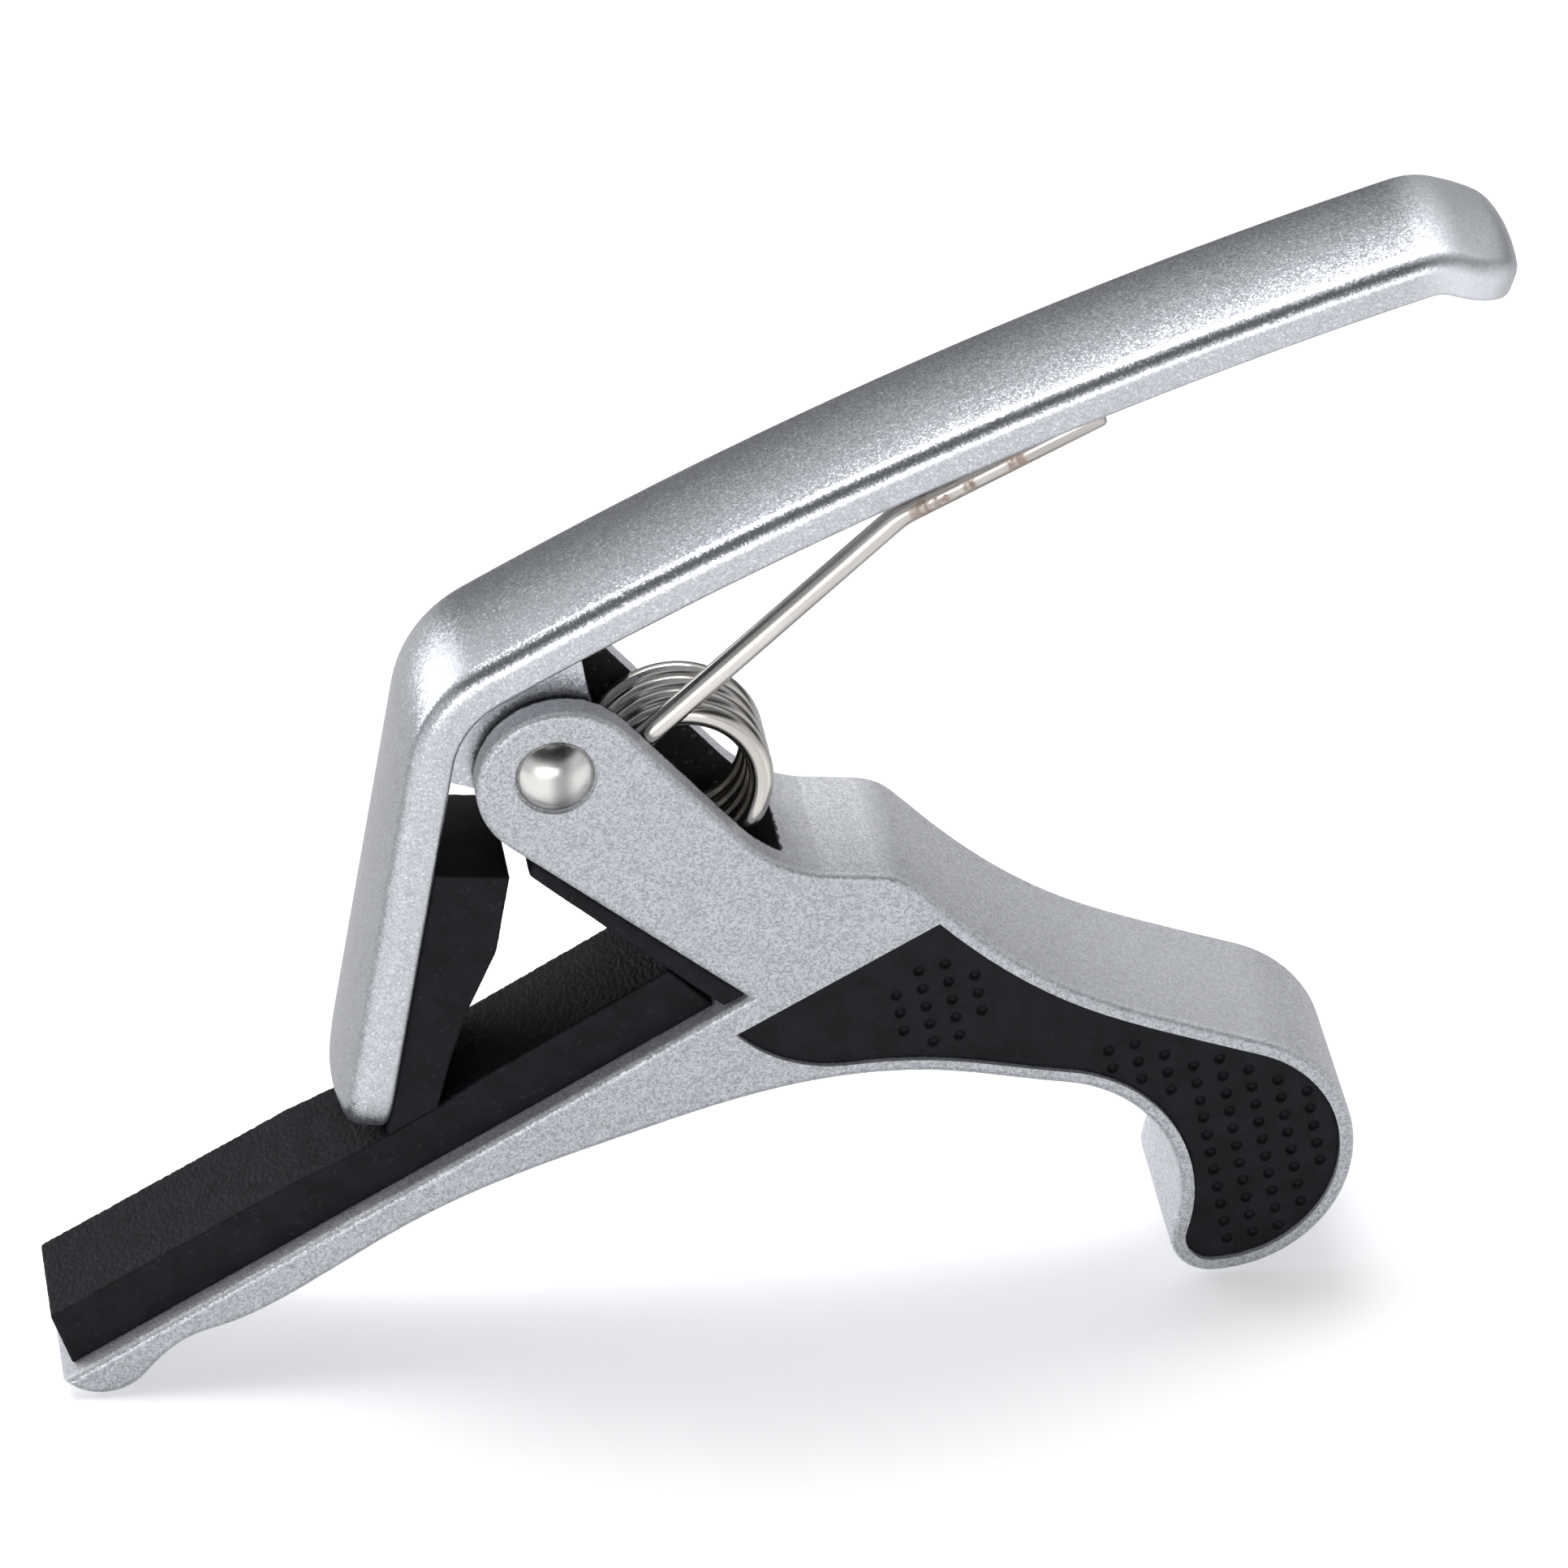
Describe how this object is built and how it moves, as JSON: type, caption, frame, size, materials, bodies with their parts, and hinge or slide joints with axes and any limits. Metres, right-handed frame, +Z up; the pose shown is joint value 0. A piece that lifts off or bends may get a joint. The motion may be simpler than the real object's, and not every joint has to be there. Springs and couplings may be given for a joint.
{
  "type": "guitar capo",
  "caption": "Spring-clamp guitar capo: cast frame with rubber string bar and hooked grip, hinged lever with padded jaw, and a torsion spring between the handles.",
  "frame": {"origin": "under the middle of the closed capo's bounding box, on the surface it stands on (string bar's tip and grip's hook down)", "axes": "+X from the string bar's tip towards the handles, +Y along the pivot away from the face with the rivet's high dome, +Z up"},
  "size_m": [0.1226, 0.0174, 0.0934],
  "materials": {
    "silver_frame": "coarse silver metallic flake paint over cast aluminium, black inside the fork",
    "silver_lever": "fine silver metallic flake paint over cast aluminium",
    "black_rubber_pad": "matte, fine grained where it touches the strings",
    "black_rubber_inlay": "satin with pressed dimples",
    "polished_nickel": "polished nickel plate",
    "spring_wire": "polished nickel plate on spring steel",
    "nylon": "natural nylon"
  },
  "bodies": {
    "base": {"frame": "silver_frame", "string_pad": "black_rubber_pad", "edge_pad": "black_rubber_pad", "front_grip_inlay": "black_rubber_inlay", "rear_grip_inlay": "black_rubber_inlay", "pivot_rivet": "polished_nickel", "pivot_washers": "nylon", "spring_coil": "spring_wire"},
    "lever": {"lever": "silver_lever", "jaw_pad": "black_rubber_pad"},
    "spring_leg": {"spring_upper_leg": "spring_wire"}
  },
  "joints": [
    {"name": "lever_hinge", "type": "hinge", "parent": "base", "child": "lever", "pos_m": [-0.01755, 0.00065, 0.0541], "axis": [0, 1, 0], "range_deg": [0, 38]},
    {"name": "spring_leg_hinge", "type": "hinge", "parent": "base", "child": "spring_leg", "pos_m": [-0.0068, 0.00065, 0.0495], "axis": [0, 1, 0], "range_deg": [0, 50], "deforming": ["spring_coil"]}
  ],
  "couplings": [
    {"joint": "spring_leg_hinge", "follows": "lever_hinge", "ratio": 1.315}
  ]
}
